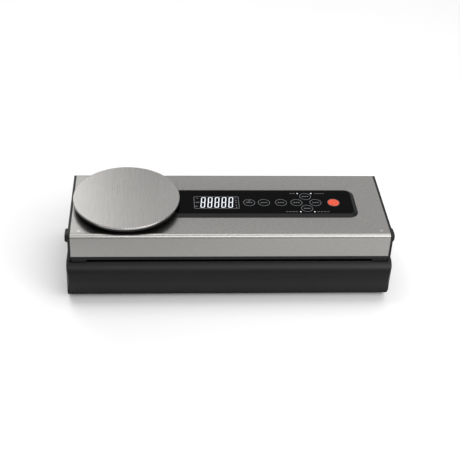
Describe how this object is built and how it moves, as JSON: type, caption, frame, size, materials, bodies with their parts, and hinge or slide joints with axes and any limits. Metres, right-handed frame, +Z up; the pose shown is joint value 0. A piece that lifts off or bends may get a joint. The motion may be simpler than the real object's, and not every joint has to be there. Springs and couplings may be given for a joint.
{
  "type": "vacuum bag sealer",
  "caption": "Countertop vacuum bag sealer with a steel hinged lid, side release buttons, black glass touch panel and a lift-off round kitchen scale platform.",
  "frame": {"origin": "centre of the footprint, at the table under the feet", "axes": "+X to the right along the body, +Y to the back (hinge side), +Z up"},
  "size_m": [0.398, 0.149, 0.109],
  "materials": {
    "black_plastic": "semi-matt moulded, fine grain",
    "black_plastic_fine": "satin moulded",
    "rubber": "matt",
    "zinc_steel": "zinc plated",
    "brown_resin": "pressed resin laminate",
    "heater_steel": "bare resistance strip",
    "tape": "coated glass cloth",
    "foam_rubber": "closed-cell foam",
    "grey_plastic": "moulded",
    "clear_silicone": "translucent silicone",
    "cream_plastic": "moulded",
    "board_green": "coated circuit board",
    "core_steel": "stacked laminations",
    "copper": "enamelled copper winding",
    "brass": "plated contact pin",
    "brushed_steel": "grained stainless sheet",
    "plate_steel": "brushed stainless sheet, grain front to back",
    "silicone_grey": "matt silicone",
    "black_gloss": "satin gloss frame",
    "black_glass": "black back-printed cover glass, opaque",
    "display_black": "dark display film",
    "display_white": "white lit segment",
    "orange_key": "orange backlit key",
    "cell_aluminium": "machined"
  },
  "bodies": {
    "base": {"base_shell": "black_plastic", "deck_plate": "black_plastic", "latch_housings": "black_plastic", "cover_posts": "grey_plastic", "bottom_cover": "black_plastic", "rubber_feet": "rubber", "bottom_screws": "zinc_steel", "bar_carrier": "brown_resin", "heating_strip": "heater_steel", "barrier_tape": "tape", "lower_gasket": "foam_rubber", "drip_tray": "black_plastic_fine", "suction_port": "grey_plastic", "hinge_brackets": "zinc_steel", "hinge_pins": "zinc_steel", "latch_catches": "zinc_steel", "pump_motor": "zinc_steel", "pump_head": "grey_plastic", "pump_cradle": "rubber", "air_hose": "clear_silicone", "vent_valve": "cream_plastic", "main_board": "board_green", "board_parts": "black_plastic_fine", "transformer_core": "core_steel", "transformer_coil": "copper", "power_inlet": "black_plastic_fine", "inlet_pins": "brass", "lid_sensor": "board_green"},
    "lid": {"lid_frame": "black_plastic", "lid_posts": "grey_plastic", "steel_cover": "brushed_steel", "end_cap_left": "black_plastic", "end_cap_right": "black_plastic", "lid_liner": "black_plastic_fine", "upper_gasket": "foam_rubber", "press_strip": "silicone_grey", "hinge_knuckles": "zinc_steel", "lid_magnet": "zinc_steel", "lid_screws": "zinc_steel", "panel_frame": "black_gloss", "panel_glass": "black_glass", "display_window": "display_black", "display_digits": "display_white", "start_key": "orange_key", "indicator_lights": "display_white", "touch_board": "board_green", "scale_ring": "black_plastic_fine", "load_cell": "cell_aluminium", "cell_foot": "zinc_steel", "cell_screws": "zinc_steel", "platform_socket": "cell_aluminium"},
    "scale_platform": {"platform_carrier": "black_plastic_fine", "platform_plate": "plate_steel"},
    "button_left": {"release_button_left": "black_plastic_fine"},
    "button_right": {"release_button_right": "black_plastic_fine"},
    "hook_left": {"latch_hook_left": "zinc_steel"},
    "hook_right": {"latch_hook_right": "zinc_steel"}
  },
  "joints": [
    {"name": "lid_hinge", "type": "hinge", "parent": "base", "child": "lid", "pos_m": [0, 0.0585, 0.0664], "axis": [-1, 0, 0], "range_deg": [0, 82]},
    {"name": "platform_lift", "type": "slide", "parent": "lid", "child": "scale_platform", "axis": [0, 0, 1], "range_m": [0, 0.02]},
    {"name": "button_left_press", "type": "slide", "parent": "lid", "child": "button_left", "axis": [1, 0, 0], "range_m": [0, 0.002], "stiffness_N_per_m": 300},
    {"name": "button_right_press", "type": "slide", "parent": "lid", "child": "button_right", "axis": [-1, 0, 0], "range_m": [0, 0.002], "stiffness_N_per_m": 300},
    {"name": "hook_left_swing", "type": "hinge", "parent": "lid", "child": "hook_left", "pos_m": [-0.1825, -0.0495, 0.092], "axis": [0, -1, 0], "range_deg": [0, 6.3]},
    {"name": "hook_right_swing", "type": "hinge", "parent": "lid", "child": "hook_right", "pos_m": [0.1825, -0.0495, 0.092], "axis": [0, 1, 0], "range_deg": [0, 6.3]}
  ],
  "couplings": [
    {"joint": "hook_left_swing", "follows": "button_left_press", "rad_per_m": 54.5},
    {"joint": "hook_right_swing", "follows": "button_right_press", "rad_per_m": 54.5}
  ]
}
